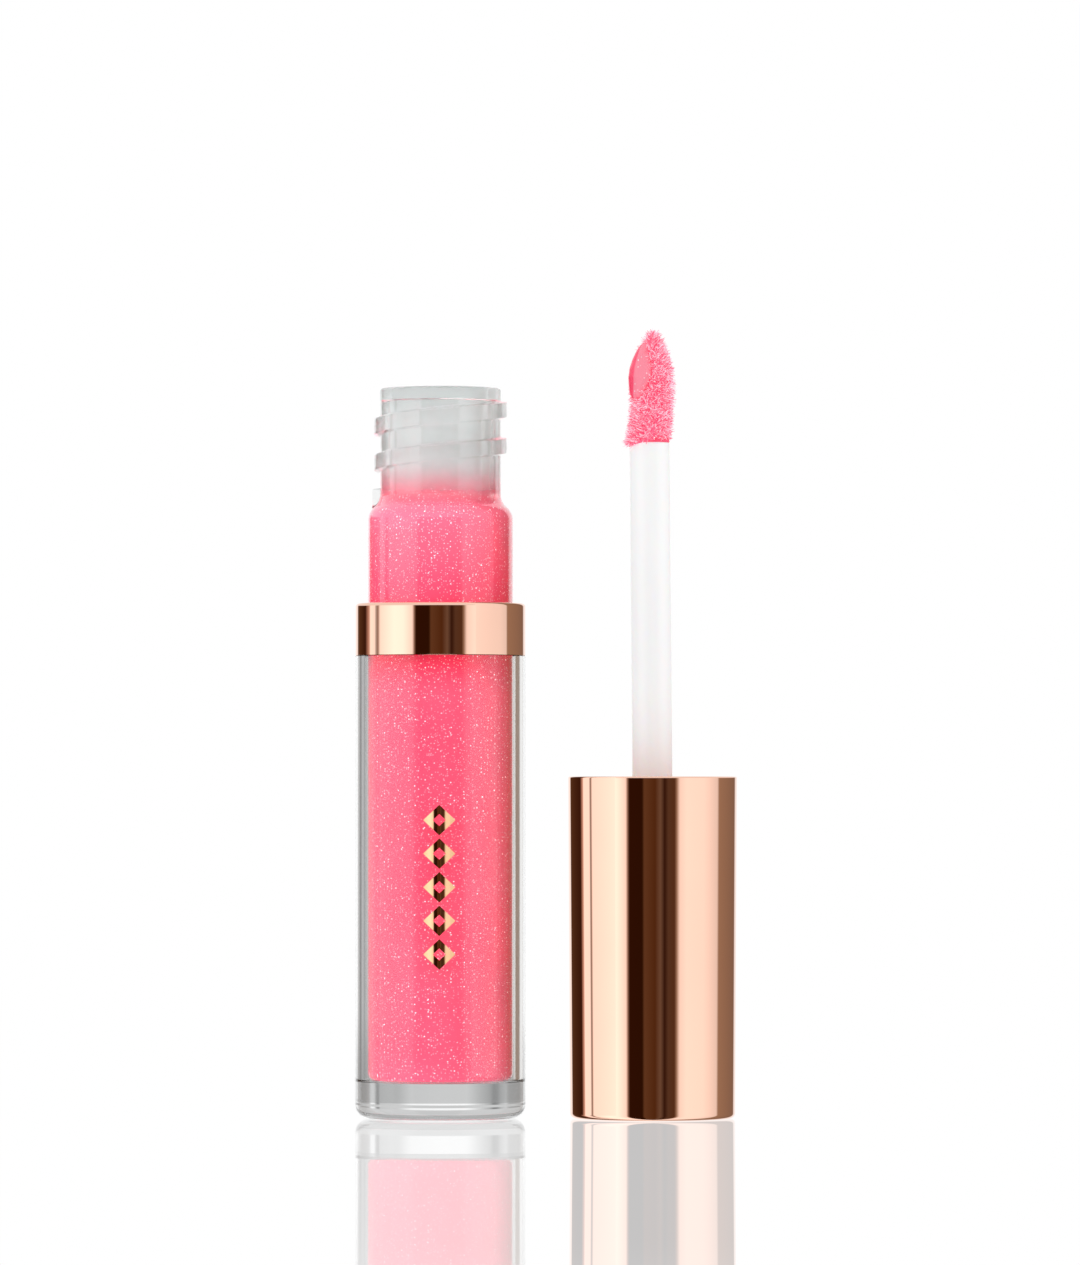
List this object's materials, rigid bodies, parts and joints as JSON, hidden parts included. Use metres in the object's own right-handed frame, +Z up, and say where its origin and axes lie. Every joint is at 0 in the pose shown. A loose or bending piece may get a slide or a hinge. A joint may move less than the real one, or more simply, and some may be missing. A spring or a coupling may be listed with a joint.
{
  "type": "lip gloss tube",
  "caption": "Double-walled clear tube of pink gloss with a metal collar and threaded neck, and its screw cap standing beside it with a flocked wand.",
  "frame": {"origin": "on the standing surface, midway between the bottle's axis and the cap's axis", "axes": "+Z up along both axes; +X from the bottle to the cap; +Y away from the viewer, so -Y is the front with the foil motif"},
  "size_m": [0.0382, 0.017, 0.0787],
  "materials": {
    "clear_acrylic": "clear, polished",
    "clear_vial": "clear, polished",
    "rose_gold": "anodised, mirror bright",
    "rose_gold_foil": "hot-stamped foil",
    "pink_gloss": "wet, translucent, with fine silver shimmer",
    "natural_plastic": "natural, milky",
    "white_plastic": "satin moulded",
    "liner_foam": "matt closed-cell foam",
    "soft_tip": "matt elastomer",
    "flock": "short nylon flock, wetted with gloss"
  },
  "bodies": {
    "bottle": {"outer_bottle": "clear_acrylic", "collar": "rose_gold", "inner_vial": "clear_vial", "gloss_fill": "pink_gloss", "wiper": "natural_plastic", "foil_motif": "rose_gold_foil"},
    "liner_ring": {"sealing_liner": "liner_foam"},
    "applicator": {"overcap": "rose_gold", "inner_cap": "white_plastic", "wand_stem": "white_plastic", "applicator_tip": "soft_tip", "flock_coat": "flock", "gloss_bead": "pink_gloss"}
  },
  "joints": [
    {"name": "applicator_lift", "type": "slide", "parent": "bottle", "child": "liner_ring", "axis": [0, 0, 1], "range_m": [0, 0.0665]},
    {"name": "applicator_turn", "type": "hinge", "parent": "liner_ring", "child": "applicator", "pos_m": [0.0106, 0, 0.012], "axis": [0, 0, 1], "continuous": true}
  ]
}
